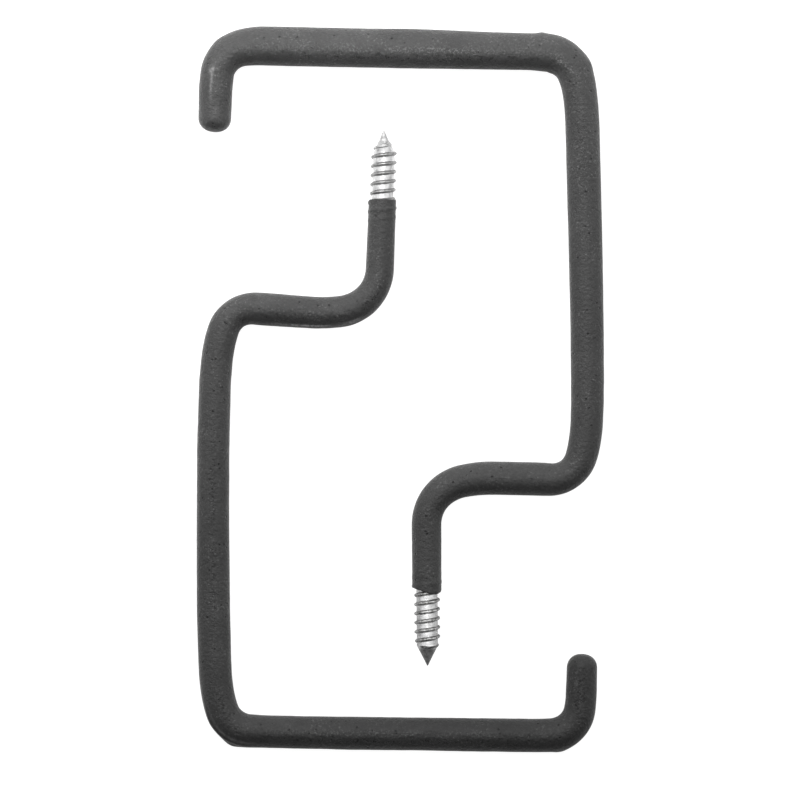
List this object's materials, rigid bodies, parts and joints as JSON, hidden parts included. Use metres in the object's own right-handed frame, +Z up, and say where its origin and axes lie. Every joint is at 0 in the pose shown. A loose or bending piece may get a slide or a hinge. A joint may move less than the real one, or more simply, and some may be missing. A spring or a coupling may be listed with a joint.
{
  "type": "pair of screw-in overhead hooks",
  "caption": "Bent steel rod hooks with wood-screw ends and a dipped vinyl skin, lying nested head to tail; each holds a long thing under a joist.",
  "frame": {"origin": "middle of the pair's footprint, on the surface that the hooks lie on", "axes": "+Y along the hooks' uprights, towards hook A's screw; +X to the right, towards hook B's upright; +Z up from the surface"},
  "size_m": [0.1259, 0.2238, 0.01],
  "materials": {
    "zinc_steel": "bright zinc plating over rolled steel",
    "vinyl": "matte dipped vinyl, dark grey to black, fine grit"
  },
  "bodies": {
    "hook_a": {"hook_a_rod": "zinc_steel", "hook_a_skin": "vinyl"},
    "hook_b": {"hook_b_rod": "zinc_steel", "hook_b_skin": "vinyl"}
  },
  "joints": [
    {"name": "hook_b_lift", "type": "slide", "parent": "hook_a", "child": "hook_b", "axis": [0, 0, 1], "range_m": [0, 0.15]}
  ]
}
